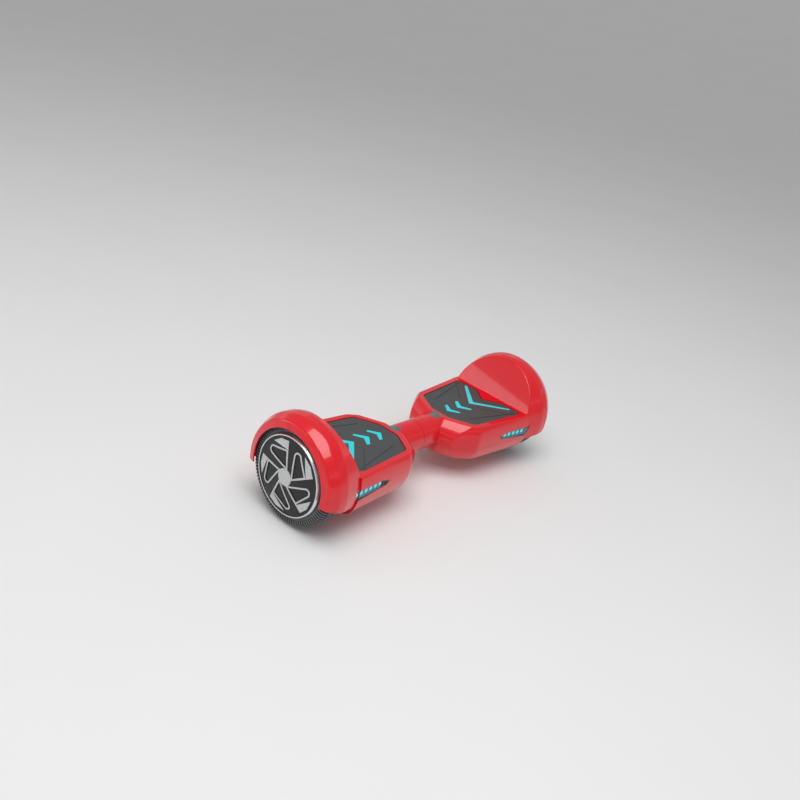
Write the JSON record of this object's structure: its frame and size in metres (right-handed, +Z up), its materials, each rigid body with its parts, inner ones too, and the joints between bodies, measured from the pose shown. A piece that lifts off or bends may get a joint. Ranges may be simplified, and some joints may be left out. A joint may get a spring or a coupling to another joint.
{
  "type": "self balancing hoverboard",
  "caption": "Self-balancing board of mirrored shells with arched fenders on a swivel neck, hub-motor wheels, rubber foot pads with light chevrons, and front lamps.",
  "frame": {"origin": "on the floor under the swivel seam, at the middle of the board's footprint", "axes": "+X along the board from the left half to the right half, -Y the front with the headlights, +Z up"},
  "size_m": [0.589, 0.194, 0.182],
  "materials": {
    "axle_steel": "turned",
    "battery_wrap": "shrink wrap",
    "bearing_steel": "ground",
    "bush_plastic": "acetal",
    "button_plastic": "gloss",
    "cap_rubber": "matte",
    "cast_aluminium": "cast, satin",
    "circuit_board": "solder mask",
    "copper_winding": "enamelled copper wire",
    "hubcap_black": "fine textured",
    "lead_rubber": "matte",
    "lens": "clear teal",
    "light_guide": "frosted cyan",
    "magnet": "nickel plated",
    "pad_rubber": "fine grained",
    "rim_metal": "machined",
    "shell_red": "gloss",
    "socket_plastic": "satin",
    "stator_iron": "laminated",
    "trim_silver": "silver, fine speckle",
    "tyre": "matte",
    "window_grey": "smoked",
    "zinc_steel": "zinc plated"
  },
  "bodies": {
    "left_half": {"left_top_shell": "shell_red", "left_bottom_shell": "shell_red", "left_frame": "cast_aluminium", "left_axle_clamp": "cast_aluminium", "left_clamp_bolts": "zinc_steel", "left_shell_screws": "zinc_steel", "left_headlight_lens": "lens", "left_headlight_board": "circuit_board", "left_status_window": "window_grey", "left_gyro_board": "circuit_board", "left_motor_axle": "axle_steel", "left_stator_core": "stator_iron", "left_stator_windings": "copper_winding", "left_motor_lead": "lead_rubber", "pivot_tube": "axle_steel", "limiter_pin": "axle_steel", "retaining_ring": "bearing_steel", "battery_pack": "battery_wrap", "battery_strap": "zinc_steel", "battery_lead": "lead_rubber"},
    "right_half": {"right_top_shell": "shell_red", "right_bottom_shell": "shell_red", "right_frame": "cast_aluminium", "right_axle_clamp": "cast_aluminium", "right_clamp_bolts": "zinc_steel", "right_shell_screws": "zinc_steel", "right_headlight_lens": "lens", "right_headlight_board": "circuit_board", "right_status_window": "window_grey", "right_gyro_board": "circuit_board", "right_motor_axle": "axle_steel", "right_stator_core": "stator_iron", "right_stator_windings": "copper_winding", "right_motor_lead": "lead_rubber", "pivot_bushes": "bush_plastic", "main_board": "circuit_board", "charge_socket": "socket_plastic", "power_switch": "socket_plastic"},
    "left_wheel": {"left_tyre": "tyre", "left_hub_shell": "rim_metal", "left_magnet_ring": "magnet", "left_motor_cover": "rim_metal", "left_cover_screws": "zinc_steel", "left_motor_bearings": "bearing_steel", "left_hubcap": "hubcap_black", "left_hubcap_trim": "trim_silver"},
    "right_wheel": {"right_tyre": "tyre", "right_hub_shell": "rim_metal", "right_magnet_ring": "magnet", "right_motor_cover": "rim_metal", "right_cover_screws": "zinc_steel", "right_motor_bearings": "bearing_steel", "right_hubcap": "hubcap_black", "right_hubcap_trim": "trim_silver"},
    "left_pad": {"left_foot_pad": "pad_rubber", "left_pad_lights": "light_guide"},
    "right_pad": {"right_foot_pad": "pad_rubber", "right_pad_lights": "light_guide"},
    "power_button": {"power_button": "button_plastic"},
    "charge_cap": {"charge_cap": "cap_rubber"}
  },
  "joints": [
    {"name": "swivel", "type": "hinge", "parent": "left_half", "child": "right_half", "pos_m": [0, 0, 0.081], "axis": [1, 0, 0], "range_deg": [-10, 10]},
    {"name": "left_wheel_spin", "type": "hinge", "parent": "left_half", "child": "left_wheel", "pos_m": [-0.264, 0, 0.085], "axis": [1, 0, 0], "continuous": true},
    {"name": "right_wheel_spin", "type": "hinge", "parent": "right_half", "child": "right_wheel", "pos_m": [0.264, 0, 0.085], "axis": [1, 0, 0], "continuous": true},
    {"name": "left_pad_press", "type": "slide", "parent": "left_half", "child": "left_pad", "axis": [0, 0, -1], "range_m": [0, 0.0012], "stiffness_N_per_m": 4000},
    {"name": "right_pad_press", "type": "slide", "parent": "right_half", "child": "right_pad", "axis": [0, 0, -1], "range_m": [0, 0.0012], "stiffness_N_per_m": 4000},
    {"name": "power_button_press", "type": "slide", "parent": "right_half", "child": "power_button", "axis": [0, -1, 0], "range_m": [0, 0.0012], "stiffness_N_per_m": 600},
    {"name": "charge_cap_hinge", "type": "hinge", "parent": "right_half", "child": "charge_cap", "pos_m": [0.1755, 0.0921, 0.0965], "axis": [1, 0, 0], "range_deg": [0, 100]}
  ]
}
